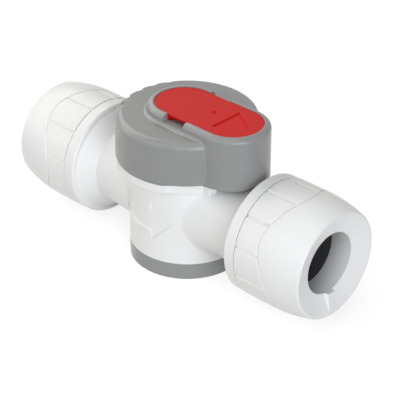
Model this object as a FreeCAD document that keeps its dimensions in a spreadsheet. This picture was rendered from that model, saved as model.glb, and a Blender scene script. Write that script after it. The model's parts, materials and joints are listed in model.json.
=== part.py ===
import FreeCAD, Part
import math
import os
import Sketcher

# Quarter-turn isolating valve for 15 mm pipe, with a screw cap on each end.
# Sub-parts are drawn about the point where the pipe axis meets the stem axis,
# and each one is lifted by axis_height so that the base stands on z = 0.
# +X runs along the pipe and the lever, +Z runs up the stem.

doc = FreeCAD.newDocument("isolating_valve")
sheet = doc.addObject("Spreadsheet::Sheet", "dims")

# Driving sizes in millimetres and degrees.
SIZES = {
    "axis_height": 15.9,
    "barrel_radius": 14.25,
    "barrel_top": 12.4,
    "branch_radius": 10.2,
    "branch_fillet": 1.5,
    "root_start": 7.5,
    "root_radius": 11.3,
    "root_end": 16.5,
    "flare_start": 21.8,
    "flare_radius": 13.4,
    "ring_start": 25.55,
    "ring_thickness": 2.6,
    "ring_radius": 14.65,
    "ring_round": 0.35,
    "spigot_radius": 12.5,
    "spigot_length": 10.4,
    "flow_radius": 5.6,
    "pipe_radius": 7.5,
    "entry_clearance": 0.15,
    "socket_clearance": 0.2,
    "pipe_stop": 21.0,
    "seal_seat": 24.5,
    "chamber_radius": 10.4,
    "running_clearance": 0.05,
    "thread_clearance": 0.08,
    "part_gap": 0.3,
    "cut_margin": 1.0,
    "rotor_radius": 8.9,
    "rotor_half_height": 8.4,
    "port_seal_inner": 6.2,
    "port_seal_outer": 8.0,
    "port_seal_end": 10.6,
    "stem_radius": 4.2,
    "neck_radius": 7.6,
    "neck_top": 13.2,
    "stem_shoulder": 13.6,
    "stem_groove_depth": 1.1,
    "stem_groove_width": 1.3,
    "stem_groove_low": 9.9,
    "stem_groove_high": 11.9,
    "drive_side": 5.6,
    "drive_top": 19.0,
    "base_height": 4.35,
    "base_edge": 0.2,
    "base_spigot_radius": 11.0,
    "base_spigot_height": 2.8,
    "base_groove_depth": 1.2,
    "base_groove_width": 1.4,
    "base_groove_middle": 1.5,
    "seal_flat": 0.42,
    "collar_radius": 15.4,
    "collar_inner": 13.0,
    "collar_low": 8.3,
    "collar_top": 14.4,
    "collar_start_angle": 85.4,
    "collar_arc": 252.6,
    "collar_flat_angle": -49.5,
    "collar_flat_distance": 14.6,
    "collar_flat_width": 10.6,
    "arrow_raise": 0.4,
    "arrow_middle": -0.9,
    "arrow_tip": 7.15,
    "arrow_neck": 1.5,
    "arrow_tail": 9.9,
    "arrow_head_half": 5.4,
    "arrow_tail_half": 2.8,
    "handle_bottom": 12.0,
    "handle_top": 22.7,
    "handle_radius": 17.3,
    "handle_top_radius": 17.1,
    "handle_round": 1.7,
    "handle_cavity_radius": 15.8,
    "cavity_step": 14.9,
    "cavity_step_radius": 14.4,
    "handle_ceiling": 19.2,
    "hub_radius": 6.6,
    "pod_bottom": 11.6,
    "pod_top": 25.05,
    "pod_rear": -0.8,
    "pod_front": 14.78,
    "pod_radius": 8.95,
    "pod_round": 1.3,
    "pod_fillet": 0.8,
    "pod_clearance": 0.45,
    "pod_pocket_radius": 6.9,
    "pod_pocket_top": 20.5,
    "stop_rib_angle": 16.0,
    "stop_rib_start": 68.7,
    "stop_rib_bottom": 12.8,
    "stop_rib_inner": 13.3,
    "insert_radius": 7.2,
    "insert_gap": 0.12,
    "insert_floor": 22.8,
    "insert_thickness": 2.1,
    "pry_notch_start": 0.7,
    "pry_notch_length": 6.5,
    "pry_notch_bottom": 23.4,
    "pry_notch_inner": 6.5,
    "pry_lip": 0.4,
    "pry_slot_inner": 5.4,
    "grip_groove_radius": 1.7,
    "grip_groove_offset": 18.8,
    "grip_groove_tilt": 8.0,
    "grip_groove_pitch": 14.5,
    "triangle_base": 12.3,
    "triangle_half": 4.7,
    "triangle_length": 7.4,
    "triangle_depth": 0.3,
    "dimple_x": 8.4,
    "dimple_y": 0.9,
    "dimple_radius": 0.8,
    "dimple_depth": 0.4,
    "screw_seat": 20.2,
    "screw_well_radius": 3.6,
    "screw_hole_radius": 1.75,
    "screw_shank_radius": 1.5,
    "screw_shank_bottom": 12.0,
    "screw_head_radius": 2.9,
    "screw_head_height": 1.5,
    "screw_slot_width": 0.8,
    "screw_slot_length": 4.1,
    "screw_slot_depth": 0.7,
    "washer_radius": 3.4,
    "washer_thickness": 0.6,
    "seam_gap": 0.25,
    "cap_radius": 14.75,
    "cap_edge": 0.25,
    "cap_straight": 8.0,
    "cap_dome_length": 9.7,
    "cap_dome_drop": 1.35,
    "cap_dome_radius": 35.0,
    "cap_rim_length": 0.75,
    "cap_rim_drop": 0.55,
    "cap_rim_radius": 0.75,
    "cap_rim_flat": 0.25,
    "cap_dish_depth": 1.75,
    "cap_roof": 10.65,
    "panel_line_depth": 0.3,
    "panel_line_width": 0.45,
    "panel_line_overrun": 0.2,
    "panel_half_width": 3.85,
    "panel_short": 6.95,
    "panel_long": 9.55,
    "panel_arc": 12.0,
    "panel_step": 30.0,
    "lobe_step": 120.0,
    "lug_half_width": 1.3,
    "lug_inner": 7.9,
    "lug_outer": 12.3,
    "lug_depth": 2.2,
    "lug_inner_drop": 0.75,
    "lug_outer_drop": 0.05,
    "cap_phase": 32.0,
    "pipe_seal_width": 3.4,
    "pipe_seal_edge": 0.5,
    "spacer_width": 2.5,
    "spacer_flare": 1.2,
    "tooth_root": 9.2,
    "grab_ring_thickness": 0.5,
    "tooth_reach": 1.0,
    "tooth_slot": 0.6,
    "wedge_edge": 0.5,
}

for row, name in enumerate(SIZES, 1):
    cell = "B%d" % row
    sheet.set("A%d" % row, name)
    sheet.set(cell, str(SIZES[name]))
    sheet.setAlias(cell, name)
doc.recompute()


class Size:
    """A length with its present number and the sheet expression it comes from."""

    def __init__(self, number, text):
        self.number = number
        self.text = text

    def __add__(self, other):
        return Size(self.number + other.number, "(%s + %s)" % (self.text, other.text))

    def __sub__(self, other):
        return Size(self.number - other.number, "(%s - %s)" % (self.text, other.text))

    def __mul__(self, other):
        return Size(self.number * other.number, "(%s * %s)" % (self.text, other.text))

    def __truediv__(self, other):
        return Size(self.number / other.number, "(%s / %s)" % (self.text, other.text))

    def __neg__(self):
        return Size(-self.number, "(0 - %s)" % self.text)


def dim(name):
    return Size(SIZES[name], "dims." + name)


ZERO = Size(0.0, "0")
ONE = Size(1.0, "1")
TWO = Size(2.0, "2")
half_turn = Size(180.0, "180")
X_AXIS = FreeCAD.Vector(1, 0, 0)
Y_AXIS = FreeCAD.Vector(0, 1, 0)
Z_AXIS = FreeCAD.Vector(0, 0, 1)


def sine(angle):
    return Size(math.sin(math.radians(angle.number)), "sin(%s * 1 deg)" % angle.text)


def cosine(angle):
    return Size(math.cos(math.radians(angle.number)), "cos(%s * 1 deg)" % angle.text)


def bind(target, prop, size):
    target.setExpression(prop, size.text)


def move(target, x, y, z):
    """Bind an object's position to the sheet."""
    bind(target, "Placement.Base.x", x)
    bind(target, "Placement.Base.y", y)
    bind(target, "Placement.Base.z", z)


def lift(target, label):
    """Name a finished sub-part and raise it to its height above the base."""
    target.Label = label
    bind(target, "Placement.Base.z", dim("axis_height"))
    finished.append(target)


finished = []

# Nearness within which two positions count as the same.
CLOSE = 0.02


def upright(name, radius, low, high):
    """Cylinder about the stem axis between two heights."""
    item = doc.addObject("Part::Cylinder", name)
    bind(item, "Radius", radius)
    bind(item, "Height", high - low)
    move(item, ZERO, ZERO, low)
    return item


def lengthwise(name, radius, start, end):
    """Cylinder about the pipe axis between two positions."""
    item = doc.addObject("Part::Cylinder", name)
    item.Placement = FreeCAD.Placement(FreeCAD.Vector(), FreeCAD.Rotation(Y_AXIS, 90))
    bind(item, "Radius", radius)
    bind(item, "Height", end - start)
    move(item, start, ZERO, ZERO)
    return item


def block(name, x_low, x_high, y_low, y_high, z_low, z_high):
    item = doc.addObject("Part::Box", name)
    bind(item, "Length", x_high - x_low)
    bind(item, "Width", y_high - y_low)
    bind(item, "Height", z_high - z_low)
    move(item, x_low, y_low, z_low)
    return item


def sector(name, radius, low, high, start, arc):
    """Pie slice about the stem axis, from a start angle through an arc."""
    item = upright(name, radius, low, high)
    bind(item, "Angle", arc)
    item.Placement = FreeCAD.Placement(FreeCAD.Vector(), FreeCAD.Rotation(Z_AXIS, start.number))
    bind(item, "Placement.Rotation.Angle", start)
    move(item, ZERO, ZERO, low)
    return item


def fuse(name, parts):
    item = doc.addObject("Part::MultiFuse", name)
    item.Shapes = parts
    return item


def cut(name, base, tool):
    item = doc.addObject("Part::Cut", name)
    item.Base = base
    item.Tool = tool
    return item


def common(name, first, second):
    item = doc.addObject("Part::Common", name)
    item.Base = first
    item.Tool = second
    return item


def origin_part(body, role):
    for feature in body.Origin.OriginFeatures:
        if feature.Role == role:
            return feature
    raise RuntimeError("no origin feature " + role)


def body_sketch(body, name, role):
    sketch = body.newObject("Sketcher::SketchObject", name)
    sketch.AttachmentSupport = [(origin_part(body, role), "")]
    sketch.MapMode = "FlatFace"
    return sketch


def arc_between(start, end, radius, side):
    """Arc from start to end, bulging to the right of the travel for side 1."""
    chord = end - start
    half = chord.Length / 2
    reach = math.sqrt(max(radius * radius - half * half, 0.0))
    across = FreeCAD.Vector(-chord.y, chord.x, 0)
    across.normalize()
    centre = (start + end) * 0.5 + across * reach * side
    circle = Part.Circle(centre, Z_AXIS, radius)
    first = math.atan2(start.y - centre.y, start.x - centre.x)
    last = math.atan2(end.y - centre.y, end.x - centre.x)
    if side > 0:
        return Part.ArcOfCircle(circle, first, last), 1, 2
    return Part.ArcOfCircle(circle, last, first), 2, 1


def outline(sketch, corners, arcs=None):
    """Closed outline through corners; arcs maps a corner number to (radius, side)."""
    arcs = arcs or {}
    count = len(corners)
    ends = []
    for index in range(count):
        here = corners[index]
        there = corners[(index + 1) % count]
        start = FreeCAD.Vector(here[0].number, here[1].number, 0)
        end = FreeCAD.Vector(there[0].number, there[1].number, 0)
        if index in arcs:
            radius, side = arcs[index]
            curve, first, last = arc_between(start, end, radius.number, side)
        else:
            curve = Part.LineSegment(start, end)
            first = 1
            last = 2
        number = sketch.addGeometry(curve, False)
        ends.append((number, first, last))
    for index in range(count):
        number, first, last = ends[index]
        after = ends[(index + 1) % count]
        sketch.addConstraint(Sketcher.Constraint("Coincident", number, last, after[0], after[1]))
    for index in range(count):
        number, first, last = ends[index]
        for size, kind, axis in ((corners[index][0], "DistanceX", -2), (corners[index][1], "DistanceY", -1)):
            if size is ZERO:
                sketch.addConstraint(Sketcher.Constraint("PointOnObject", number, first, axis))
            else:
                place = sketch.addConstraint(Sketcher.Constraint(kind, number, first, size.number))
                bind(sketch, "Constraints[%d]" % place, size)
        if index in arcs:
            radius = arcs[index][0]
            place = sketch.addConstraint(Sketcher.Constraint("Radius", number, radius.number))
            bind(sketch, "Constraints[%d]" % place, radius)


def revolve(body, name, corners, axis, arcs=None):
    """Turned solid from an outline in the upright plane through both axes."""
    sketch = body_sketch(body, name + "_outline", "XZ_Plane")
    outline(sketch, corners, arcs)
    turn = body.newObject("PartDesign::Revolution", name)
    turn.Profile = sketch
    turn.ReferenceAxis = (sketch, [axis])
    turn.Angle = 360
    doc.recompute()
    return turn


def turned(name, corners, axis, arcs=None):
    body = doc.addObject("PartDesign::Body", name)
    revolve(body, name + "_turn", corners, axis, arcs)
    return body


def groove(body, name, corners, axis):
    """Turned cut, checked to have removed material."""
    before = body.Shape.Volume
    sketch = body_sketch(body, name + "_outline", "XZ_Plane")
    outline(sketch, corners)
    turn = body.newObject("PartDesign::Groove", name)
    turn.Profile = sketch
    turn.ReferenceAxis = (sketch, [axis])
    turn.Angle = 360
    doc.recompute()
    if body.Shape.Volume >= before:
        raise RuntimeError(name + " cut nothing")
    return turn


def stadium(sketch, rear, front, radius):
    """Obround with straight sides along X, from a rear to a front centre."""
    corners = [(rear, -radius), (front, -radius), (front, radius), (rear, radius)]
    sketch_geometry = []
    low = Part.LineSegment(
        FreeCAD.Vector(rear.number, -radius.number, 0),
        FreeCAD.Vector(front.number, -radius.number, 0),
    )
    high = Part.LineSegment(
        FreeCAD.Vector(front.number, radius.number, 0),
        FreeCAD.Vector(rear.number, radius.number, 0),
    )
    right_circle = Part.Circle(FreeCAD.Vector(front.number, 0, 0), Z_AXIS, radius.number)
    left_circle = Part.Circle(FreeCAD.Vector(rear.number, 0, 0), Z_AXIS, radius.number)
    right = Part.ArcOfCircle(right_circle, -math.pi / 2, math.pi / 2)
    left = Part.ArcOfCircle(left_circle, math.pi / 2, math.pi * 3 / 2)
    for curve in (low, right, high, left):
        sketch_geometry.append(sketch.addGeometry(curve, False))
    for index in range(len(corners)):
        here = sketch_geometry[index]
        there = sketch_geometry[(index + 1) % len(corners)]
        sketch.addConstraint(Sketcher.Constraint("Coincident", here, 2, there, 1))
    for index in range(len(corners)):
        for size, kind in ((corners[index][0], "DistanceX"), (corners[index][1], "DistanceY")):
            place = sketch.addConstraint(Sketcher.Constraint(kind, sketch_geometry[index], 1, size.number))
            bind(sketch, "Constraints[%d]" % place, size)
    for index, centre in ((1, front), (3, rear)):
        number = sketch_geometry[index]
        place = sketch.addConstraint(Sketcher.Constraint("DistanceX", number, 3, centre.number))
        bind(sketch, "Constraints[%d]" % place, centre)


def obround(name, rear, front, radius, low, high):
    """Upright obround pad between two heights."""
    body = doc.addObject("PartDesign::Body", name)
    sketch = body_sketch(body, name + "_outline", "XY_Plane")
    bind(sketch, "AttachmentOffset.Base.z", low)
    stadium(sketch, rear, front, radius)
    pad = body.newObject("PartDesign::Pad", name + "_pad")
    pad.Profile = sketch
    bind(pad, "Length", high - low)
    doc.recompute()
    return body


def prism(name, role, offset, corners, length):
    """Straight pad of an outline drawn on one origin plane moved by an offset."""
    body = doc.addObject("PartDesign::Body", name)
    sketch = body_sketch(body, name + "_outline", role)
    bind(sketch, "AttachmentOffset.Base.z", offset)
    outline(sketch, corners)
    pad = body.newObject("PartDesign::Pad", name + "_pad")
    pad.Profile = sketch
    bind(pad, "Length", length)
    doc.recompute()
    return body


# Shared positions along the pipe and the stem.
ring_end = dim("ring_start") + dim("ring_thickness")
spigot_end = ring_end + dim("spigot_length")
cap_start = ring_end + dim("seam_gap")
socket_radius = dim("pipe_radius") + dim("socket_clearance")
entry_radius = dim("pipe_radius") + dim("entry_clearance")
rotor_bore = dim("rotor_radius") + dim("running_clearance")
stem_bore = dim("stem_radius") + dim("running_clearance")
rotor_top = dim("rotor_half_height")
rotor_bottom = -dim("rotor_half_height")
rotor_roof = rotor_top + dim("part_gap")
base_top = -dim("axis_height") + dim("base_height")
base_spigot_top = base_top + dim("base_spigot_height")
base_hole = dim("base_spigot_radius") + dim("running_clearance")
seal_end = dim("seal_seat") + dim("pipe_seal_width")
spacer_end = seal_end + dim("spacer_width")
grab_end = spacer_end + dim("part_gap") + dim("grab_ring_thickness")
grab_start = spacer_end + dim("part_gap")
cap_roof = cap_start + dim("cap_roof")
wedge_end = cap_roof - dim("part_gap")
wedge_radius = dim("chamber_radius") - dim("running_clearance")

# Valve body: barrel and both branches, turned about the stem and the pipe.
shell = doc.addObject("PartDesign::Body", "body_shell")
revolve(
    shell,
    "barrel",
    [
        (ZERO, base_top),
        (dim("barrel_radius"), base_top),
        (dim("barrel_radius"), dim("barrel_top")),
        (dim("neck_radius"), dim("barrel_top")),
        (dim("neck_radius"), dim("neck_top")),
        (ZERO, dim("neck_top")),
    ],
    "V_Axis",
)
right_half = [
    (dim("root_start"), dim("root_radius")),
    (dim("root_end"), dim("branch_radius")),
    (dim("flare_start"), dim("branch_radius")),
    (dim("ring_start"), dim("flare_radius")),
    (dim("ring_start"), dim("ring_radius") - dim("ring_round")),
    (dim("ring_start") + dim("ring_round"), dim("ring_radius")),
    (ring_end, dim("ring_radius")),
    (ring_end, dim("spigot_radius")),
    (spigot_end, dim("spigot_radius")),
    (spigot_end, ZERO),
]
left_half = [(-x, r) for x, r in reversed(right_half)]
branches = revolve(shell, "branches", right_half + left_half, "H_Axis")
joins = []
for number, edge in enumerate(branches.Shape.Edges, 1):
    near_barrel = abs(edge.BoundBox.Center.x) < SIZES["barrel_radius"]
    if near_barrel and edge.Curve.TypeId not in ("Part::GeomLine", "Part::GeomCircle"):
        joins.append("Edge%d" % number)
soften = shell.newObject("PartDesign::Fillet", "branch_soften")
soften.Base = (branches, joins)
bind(soften, "Radius", dim("branch_fillet"))
doc.recompute()
right_way = [
    (dim("pipe_stop"), dim("flow_radius")),
    (dim("pipe_stop"), socket_radius),
    (dim("seal_seat"), socket_radius),
    (dim("seal_seat"), dim("chamber_radius")),
    (spigot_end + dim("cut_margin"), dim("chamber_radius")),
    (spigot_end + dim("cut_margin"), ZERO),
]
left_way = [(-x, r) for x, r in reversed(right_way)]
groove(shell, "waterway", right_way + left_way, "H_Axis")
groove(
    shell,
    "port_pockets",
    [
        (-dim("port_seal_end"), ZERO),
        (-dim("port_seal_end"), dim("port_seal_outer")),
        (dim("port_seal_end"), dim("port_seal_outer")),
        (dim("port_seal_end"), ZERO),
    ],
    "H_Axis",
)
groove(
    shell,
    "rotor_chamber",
    [
        (ZERO, base_top - dim("cut_margin")),
        (base_hole, base_top - dim("cut_margin")),
        (base_hole, base_spigot_top),
        (rotor_bore, base_spigot_top),
        (rotor_bore, rotor_roof),
        (stem_bore, rotor_roof),
        (stem_bore, dim("neck_top") + dim("cut_margin")),
        (ZERO, dim("neck_top") + dim("cut_margin")),
    ],
    "V_Axis",
)

# Stop collar: part of a ring round the barrel, with one flat on its front.
collar_outer = sector(
    "collar_outer",
    dim("collar_radius"),
    dim("collar_low"),
    dim("collar_top"),
    dim("collar_start_angle"),
    dim("collar_arc"),
)
collar_hole = upright(
    "collar_hole",
    dim("collar_inner"),
    dim("collar_low") - dim("cut_margin"),
    dim("collar_top") + dim("cut_margin"),
)
flat_block = block(
    "collar_flat_block",
    dim("collar_flat_distance"),
    dim("collar_radius") + dim("cut_margin"),
    -dim("collar_flat_width") / TWO,
    dim("collar_flat_width") / TWO,
    dim("collar_low") - dim("cut_margin"),
    dim("collar_top") + dim("cut_margin"),
)
flat_turn = dim("collar_flat_angle")
flat_block.Placement = FreeCAD.Placement(FreeCAD.Vector(), FreeCAD.Rotation(Z_AXIS, flat_turn.number))
half_width = dim("collar_flat_width") / TWO
move(
    flat_block,
    dim("collar_flat_distance") * cosine(flat_turn) + half_width * sine(flat_turn),
    dim("collar_flat_distance") * sine(flat_turn) - half_width * cosine(flat_turn),
    dim("collar_low") - dim("cut_margin"),
)
bind(flat_block, "Placement.Rotation.Angle", flat_turn)
collar = cut("collar", collar_outer, fuse("collar_cuts", [collar_hole, flat_block]))

# Raised flow arrow on the front of the barrel.
arrow_prism = prism(
    "arrow_prism",
    "XZ_Plane",
    ZERO,
    [
        (-dim("arrow_tail"), dim("arrow_middle") - dim("arrow_tail_half")),
        (dim("arrow_neck"), dim("arrow_middle") - dim("arrow_tail_half")),
        (dim("arrow_neck"), dim("arrow_middle") - dim("arrow_head_half")),
        (dim("arrow_tip"), dim("arrow_middle")),
        (dim("arrow_neck"), dim("arrow_middle") + dim("arrow_head_half")),
        (dim("arrow_neck"), dim("arrow_middle") + dim("arrow_tail_half")),
        (-dim("arrow_tail"), dim("arrow_middle") + dim("arrow_tail_half")),
    ],
    dim("barrel_radius") + dim("cut_margin"),
)
arrow_limit = upright(
    "arrow_limit",
    dim("barrel_radius") + dim("arrow_raise"),
    base_top,
    dim("collar_low"),
)
arrow_inside = upright(
    "arrow_inside",
    dim("barrel_radius") - dim("arrow_raise"),
    base_top - dim("cut_margin"),
    dim("collar_low") + dim("cut_margin"),
)
arrow = cut("arrow", common("arrow_block", arrow_prism, arrow_limit), arrow_inside)
marked_shell = fuse("marked_shell", [shell, arrow])
valve_body = fuse("valve_body", [marked_shell, collar])
valve_body.Refine = False
lift(valve_body, "valve_body")

# Base cap with its spigot, and the rubber ring in the spigot's groove.
groove_middle = base_top + dim("base_groove_middle")
groove_half = dim("base_groove_width") / TWO
groove_floor = dim("base_spigot_radius") - dim("base_groove_depth")
base_cap = turned(
    "base_cap",
    [
        (ZERO, -dim("axis_height")),
        (dim("barrel_radius") - dim("base_edge"), -dim("axis_height")),
        (dim("barrel_radius"), -dim("axis_height") + dim("base_edge")),
        (dim("barrel_radius"), base_top),
        (dim("base_spigot_radius"), base_top),
        (dim("base_spigot_radius"), groove_middle - groove_half),
        (groove_floor, groove_middle - groove_half),
        (groove_floor, groove_middle + groove_half),
        (dim("base_spigot_radius"), groove_middle + groove_half),
        (dim("base_spigot_radius"), base_spigot_top),
        (ZERO, base_spigot_top),
    ],
    "V_Axis",
)
lift(base_cap, "base_cap")


def rubber_ring(name, inner, outer, height):
    """Seal about the stem axis, pressed flat where it meets its groove and its bore."""
    half = (outer - inner) / TWO
    flat = half * dim("seal_flat")
    middle = (inner + outer) / TWO
    ring = turned(
        name,
        [
            (inner, height - flat),
            (middle - flat, height - half),
            (middle + flat, height - half),
            (outer, height - flat),
            (outer, height + flat),
            (middle + flat, height + half),
            (middle - flat, height + half),
            (inner, height + flat),
        ],
        "V_Axis",
    )
    lift(ring, name)


rubber_ring("base_seal", groove_floor, dim("base_spigot_radius"), groove_middle)

# Rotor: plug with a cross bore, a grooved stem and a square drive.
stem_floor = dim("stem_radius") - dim("stem_groove_depth")
stem_half = dim("stem_groove_width") / TWO
plug = turned(
    "rotor_plug",
    [
        (ZERO, rotor_bottom),
        (dim("rotor_radius"), rotor_bottom),
        (dim("rotor_radius"), rotor_top),
        (dim("stem_radius"), rotor_top),
        (dim("stem_radius"), dim("stem_groove_low") - stem_half),
        (stem_floor, dim("stem_groove_low") - stem_half),
        (stem_floor, dim("stem_groove_low") + stem_half),
        (dim("stem_radius"), dim("stem_groove_low") + stem_half),
        (dim("stem_radius"), dim("stem_groove_high") - stem_half),
        (stem_floor, dim("stem_groove_high") - stem_half),
        (stem_floor, dim("stem_groove_high") + stem_half),
        (dim("stem_radius"), dim("stem_groove_high") + stem_half),
        (dim("stem_radius"), dim("stem_shoulder")),
        (ZERO, dim("stem_shoulder")),
    ],
    "V_Axis",
)
drive_half = dim("drive_side") / TWO
drive = block(
    "drive",
    -drive_half,
    drive_half,
    -drive_half,
    drive_half,
    dim("stem_shoulder") - dim("cut_margin"),
    dim("drive_top"),
)
cross_bore = lengthwise(
    "cross_bore",
    dim("flow_radius"),
    -dim("rotor_radius") - dim("cut_margin"),
    dim("rotor_radius") + dim("cut_margin"),
)
screw_pilot = upright(
    "screw_pilot",
    dim("screw_shank_radius"),
    dim("screw_shank_bottom"),
    dim("drive_top") + dim("cut_margin"),
)
rotor = cut(
    "flow_rotor",
    fuse("rotor_solid", [plug, drive]),
    fuse("rotor_holes", [cross_bore, screw_pilot]),
)
lift(rotor, "flow_rotor")
rubber_ring("stem_seal_lower", stem_floor, dim("stem_radius"), dim("stem_groove_low"))
rubber_ring("stem_seal_upper", stem_floor, dim("stem_radius"), dim("stem_groove_high"))

# Saddle seals round the two body ports.
for side_name, side in (("right", ONE), ("left", -ONE)):
    far = side * dim("port_seal_end")
    start = ZERO if side is ONE else far
    end = far if side is ONE else ZERO
    seal_outer = lengthwise("port_outer_" + side_name, dim("port_seal_outer"), start, end)
    seal_hole = lengthwise(
        "port_hole_" + side_name,
        dim("port_seal_inner"),
        start - dim("cut_margin"),
        end + dim("cut_margin"),
    )
    seal_saddle = upright(
        "port_saddle_" + side_name,
        rotor_bore,
        -dim("rotor_radius"),
        dim("rotor_radius"),
    )
    seal = cut(
        "port_seal_" + side_name,
        seal_outer,
        fuse("port_cuts_" + side_name, [seal_hole, seal_saddle]),
    )
    lift(seal, "port_seal_" + side_name)

# Handle: disc with a rounded top edge, and the lever pod that stands out of it.
handle_blank = doc.addObject("PartDesign::Body", "handle_blank")
revolve(
    handle_blank,
    "handle_disc",
    [
        (ZERO, dim("handle_bottom")),
        (dim("handle_radius"), dim("handle_bottom")),
        (dim("handle_top_radius"), dim("handle_top") - dim("handle_round")),
        (dim("handle_top_radius") - dim("handle_round"), dim("handle_top")),
        (ZERO, dim("handle_top")),
    ],
    "V_Axis",
    {2: (dim("handle_round"), 1)},
)
pod_sketch = body_sketch(handle_blank, "handle_pod_outline", "XY_Plane")
bind(pod_sketch, "AttachmentOffset.Base.z", dim("pod_bottom"))
stadium(pod_sketch, dim("pod_rear"), dim("pod_front"), dim("pod_radius"))
pod = handle_blank.newObject("PartDesign::Pad", "handle_pod")
pod.Profile = pod_sketch
bind(pod, "Length", dim("pod_top") - dim("pod_bottom"))
doc.recompute()


def on_pod_wall(point):
    """Whether a point lies on the upright wall of the lever pod."""
    along = min(max(point.x, SIZES["pod_rear"]), SIZES["pod_front"])
    return abs(math.hypot(point.x - along, point.y) - SIZES["pod_radius"]) < CLOSE


def is_upright(edge):
    return edge.BoundBox.XLength < CLOSE and edge.BoundBox.YLength < CLOSE


pod_joins = []
for number, edge in enumerate(pod.Shape.Edges, 1):
    first, last = edge.ParameterRange
    middle = edge.valueAt((first + last) / 2)
    beside_disc = SIZES["handle_bottom"] + CLOSE < middle.z < SIZES["handle_top"] + CLOSE
    if beside_disc and on_pod_wall(middle) and not is_upright(edge):
        pod_joins.append("Edge%d" % number)
pod_foot = handle_blank.newObject("PartDesign::Fillet", "handle_pod_foot")
pod_foot.Base = (pod, pod_joins)
bind(pod_foot, "Radius", dim("pod_fillet"))
doc.recompute()
pod_roof = ""
for number, face in enumerate(pod_foot.Shape.Faces, 1):
    if face.BoundBox.ZMin > SIZES["pod_top"] - CLOSE:
        pod_roof = "Face%d" % number
pod_soft = handle_blank.newObject("PartDesign::Fillet", "handle_pod_soft")
pod_soft.Base = (pod_foot, [pod_roof])
bind(pod_soft, "Radius", dim("pod_round"))
doc.recompute()
cavity_mouth = upright(
    "cavity_mouth",
    dim("handle_cavity_radius"),
    dim("pod_bottom") - dim("cut_margin"),
    dim("cavity_step"),
)
cavity_upper = upright(
    "cavity_upper",
    dim("cavity_step_radius"),
    dim("handle_bottom"),
    dim("handle_ceiling"),
)
hub_core = upright(
    "hub_core",
    dim("hub_radius"),
    dim("stem_shoulder"),
    dim("handle_ceiling") + dim("cut_margin"),
)
cavity = cut("handle_cavity", fuse("cavity_space", [cavity_mouth, cavity_upper]), hub_core)
pod_pocket_round = upright(
    "pod_pocket_round",
    dim("pod_pocket_radius"),
    dim("pod_bottom") - dim("cut_margin"),
    dim("pod_pocket_top"),
)
move(pod_pocket_round, dim("pod_front"), ZERO, dim("pod_bottom") - dim("cut_margin"))
pod_pocket_wall = upright(
    "pod_pocket_wall",
    dim("handle_radius"),
    dim("pod_bottom") - TWO * dim("cut_margin"),
    dim("handle_top"),
)
pod_pocket = cut("pod_pocket", pod_pocket_round, pod_pocket_wall)
insert_recess = obround(
    "insert_recess",
    dim("pod_rear"),
    dim("pod_front"),
    dim("insert_radius") + dim("insert_gap"),
    dim("insert_floor"),
    dim("pod_top") + dim("cut_margin"),
)
screw_well = upright(
    "screw_well",
    dim("screw_well_radius"),
    dim("screw_seat"),
    dim("insert_floor") + dim("cut_margin"),
)
screw_hole = upright(
    "screw_hole",
    dim("screw_hole_radius"),
    dim("drive_top") - dim("cut_margin"),
    dim("screw_seat") + dim("cut_margin"),
)
socket_half = drive_half + dim("running_clearance")
drive_socket = block(
    "drive_socket",
    -socket_half,
    socket_half,
    -socket_half,
    socket_half,
    dim("stem_shoulder") - dim("cut_margin"),
    dim("drive_top"),
)
notch_end = dim("pry_notch_start") + dim("pry_notch_length")
notch_near = block(
    "pry_notch_near",
    dim("pry_notch_start"),
    notch_end,
    -dim("pod_radius") - dim("cut_margin"),
    -dim("pry_notch_inner"),
    dim("pry_notch_bottom"),
    dim("pod_top") + dim("cut_margin"),
)
notch_far = block(
    "pry_notch_far",
    dim("pry_notch_start"),
    notch_end,
    dim("pry_notch_inner"),
    dim("pod_radius") + dim("cut_margin"),
    dim("pry_notch_bottom"),
    dim("pod_top") + dim("cut_margin"),
)
pod_relief = turned(
    "pod_relief",
    [
        (dim("flare_start"), dim("branch_radius") + dim("pod_clearance")),
        (dim("ring_start"), dim("branch_radius") + dim("pod_clearance")),
        (dim("ring_start"), dim("flare_radius") + dim("pod_clearance")),
    ],
    "V_Axis",
)
# Grip grooves at the rear, counted from the middle one to each side.
GRIP_STEPS = range(-2, 3)
handle_cuts = [
    cavity,
    pod_pocket,
    pod_relief,
    insert_recess,
    screw_well,
    screw_hole,
    drive_socket,
    notch_near,
    notch_far,
]
for step in GRIP_STEPS:
    angle = half_turn + Size(float(step), "%d" % step) * dim("grip_groove_pitch")
    grip = upright(
        "grip_groove_%d" % (step + GRIP_STEPS.stop),
        dim("grip_groove_radius"),
        dim("handle_bottom") - dim("cut_margin"),
        dim("pod_top") + dim("cut_margin"),
    )
    lean = FreeCAD.Rotation(
        FreeCAD.Vector(sine(angle).number, -cosine(angle).number, 0),
        SIZES["grip_groove_tilt"],
    )
    grip.Placement = FreeCAD.Placement(FreeCAD.Vector(), lean)
    bind(grip, "Placement.Rotation.Axis.x", sine(angle))
    bind(grip, "Placement.Rotation.Axis.y", -cosine(angle))
    bind(grip, "Placement.Rotation.Angle", dim("grip_groove_tilt"))
    move(
        grip,
        dim("grip_groove_offset") * cosine(angle),
        dim("grip_groove_offset") * sine(angle),
        dim("handle_bottom") - dim("cut_margin"),
    )
    handle_cuts.append(grip)
handle_open = cut("handle_open", handle_blank, fuse("handle_cuts", handle_cuts))
rib_outer = sector(
    "stop_rib_outer",
    dim("handle_cavity_radius") + dim("part_gap"),
    dim("stop_rib_bottom"),
    dim("handle_ceiling") + dim("part_gap"),
    dim("stop_rib_start"),
    dim("stop_rib_angle"),
)
rib_hole = upright(
    "stop_rib_hole",
    dim("stop_rib_inner"),
    dim("stop_rib_bottom") - dim("cut_margin"),
    dim("handle_ceiling") + dim("cut_margin"),
)
stop_rib = cut("stop_rib", rib_outer, rib_hole)
lift(fuse("handle", [handle_open, stop_rib]), "handle")

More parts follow.
